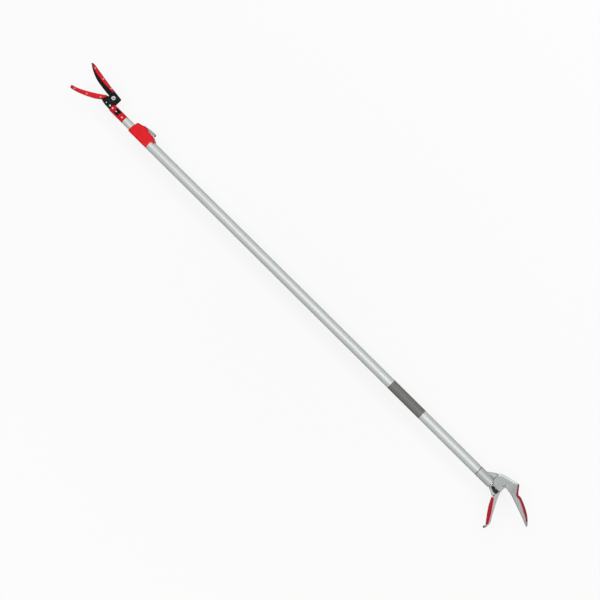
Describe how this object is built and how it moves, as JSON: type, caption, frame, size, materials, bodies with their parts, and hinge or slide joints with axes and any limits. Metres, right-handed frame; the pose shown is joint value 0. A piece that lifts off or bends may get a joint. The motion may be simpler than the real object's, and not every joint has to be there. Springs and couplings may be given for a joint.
{
  "type": "tree pruner pole",
  "caption": "Telescopic tree pruner: a cut-and-hold blade head on a two-tube pole with a cam clamp, worked by a squeeze lever through a pull rod, with a swivelling handle.",
  "frame": {"origin": "on the pole's axis, at the rear end of the outer tube, where the handle's collar turns", "axes": "+X along the pole towards the rear grip, +Y up from the pole away from the squeeze lever, +Z out of the tool's flat side as it lies on a floor"},
  "size_m": [1.5402, 0.1336, 0.0286],
  "materials": {
    "tube_aluminium": "satin",
    "dark_band": "matte",
    "red_plastic": "gloss",
    "red_plate": "gloss",
    "black_steel": "satin",
    "bright_steel": "satin",
    "dark_steel": "satin",
    "cast_aluminium": "cast",
    "red_rubber": "matte",
    "maroon_rubber": "matte",
    "white_nylon": "matte",
    "bronze": "satin"
  },
  "bodies": {
    "pole": {"pole_tube": "tube_aluminium", "label_band": "dark_band", "clamp_body": "red_plastic", "clamp_shoe": "dark_band", "clamp_pin": "bright_steel", "swivel_spigot": "cast_aluminium", "seam_washer": "dark_band", "retaining_ring": "dark_steel", "return_spring": "dark_steel"},
    "mast": {"inner_tube": "tube_aluminium", "mast_guide_ring": "white_nylon", "inner_tube_bush": "white_nylon", "neck": "red_plastic", "rod_guide": "white_nylon", "neck_rivets": "bright_steel", "head_bracket": "black_steel", "counter_blade": "black_steel", "jaw_hold_plate": "red_plate", "jaw_plate_rivets": "bright_steel", "bracket_rivets": "bright_steel", "pivot_bolt": "bright_steel", "pivot_nut": "bright_steel"},
    "blade": {"cutting_blade": "black_steel", "blade_hold_plate": "red_plate", "blade_plate_rivets": "bright_steel"},
    "front_pull_rod": {"front_rod": "tube_aluminium", "rod_tongue": "dark_steel", "drive_pin": "bright_steel", "adjuster_nut": "bright_steel"},
    "rear_pull_rod": {"rear_rod_tube": "tube_aluminium", "rod_clutch": "bronze", "clutch_cap": "dark_steel", "spring_collar": "dark_steel", "rod_tail": "dark_steel"},
    "yoke_slider": {"yoke": "dark_steel", "yoke_cap": "dark_steel", "yoke_pin": "bright_steel"},
    "handle": {"handle_casting": "cast_aluminium", "palm_pad": "maroon_rubber", "swivel_bush": "white_nylon", "lever_pivot_bolt": "bright_steel", "lever_pivot_nut": "bright_steel", "swivel_stop_screw": "dark_steel", "lock_pin": "bright_steel"},
    "lever": {"squeeze_lever": "cast_aluminium", "lever_crank": "black_steel", "lever_pad": "red_rubber", "lever_bushes": "bronze"},
    "clamp_cam": {"clamp_lever": "bright_steel"},
    "swivel_latch": {"swivel_lock": "cast_aluminium"}
  },
  "joints": [
    {"name": "handle_swivel", "type": "hinge", "parent": "pole", "child": "handle", "pos_m": [0, 0, 0], "axis": [1, 0, 0], "range_deg": [-90, 90]},
    {"name": "mast_telescope", "type": "slide", "parent": "pole", "child": "mast", "axis": [-1, 0, 0], "range_m": [0, 0.85]},
    {"name": "lever_squeeze", "type": "hinge", "parent": "handle", "child": "lever", "pos_m": [0.0655, 0.019, 0], "axis": [0, 0, 1], "range_deg": [0, 38], "stiffness_Nm_per_rad": 1.5, "springref_deg": -17.19},
    {"name": "yoke_pull", "type": "slide", "parent": "handle", "child": "yoke_slider", "axis": [1, 0, 0], "range_m": [0, 0.0131]},
    {"name": "rear_rod_pull", "type": "slide", "parent": "pole", "child": "rear_pull_rod", "axis": [1, 0, 0], "range_m": [0, 0.0131], "deforming": ["return_spring"]},
    {"name": "front_rod_pull", "type": "slide", "parent": "mast", "child": "front_pull_rod", "axis": [1, 0, 0], "range_m": [0, 0.0131]},
    {"name": "blade_close", "type": "hinge", "parent": "mast", "child": "blade", "pos_m": [-1.262, 0.019, 0], "axis": [0, 0, 1], "range_deg": [0, 38]},
    {"name": "clamp_release", "type": "hinge", "parent": "pole", "child": "clamp_cam", "pos_m": [-1.1506, 0.0209, 0], "axis": [0, 0, 1], "range_deg": [0, 90]},
    {"name": "swivel_unlock", "type": "hinge", "parent": "handle", "child": "swivel_latch", "pos_m": [0.041, 0.0193, 0], "axis": [0, 0, 1], "range_deg": [-35, 0]}
  ],
  "couplings": [
    {"joint": "yoke_pull", "follows": "lever_squeeze", "m_per_rad": 0.019729},
    {"joint": "rear_rod_pull", "follows": "lever_squeeze", "m_per_rad": 0.019729},
    {"joint": "front_rod_pull", "follows": "lever_squeeze", "m_per_rad": 0.019729},
    {"joint": "blade_close", "follows": "lever_squeeze", "ratio": 1}
  ]
}
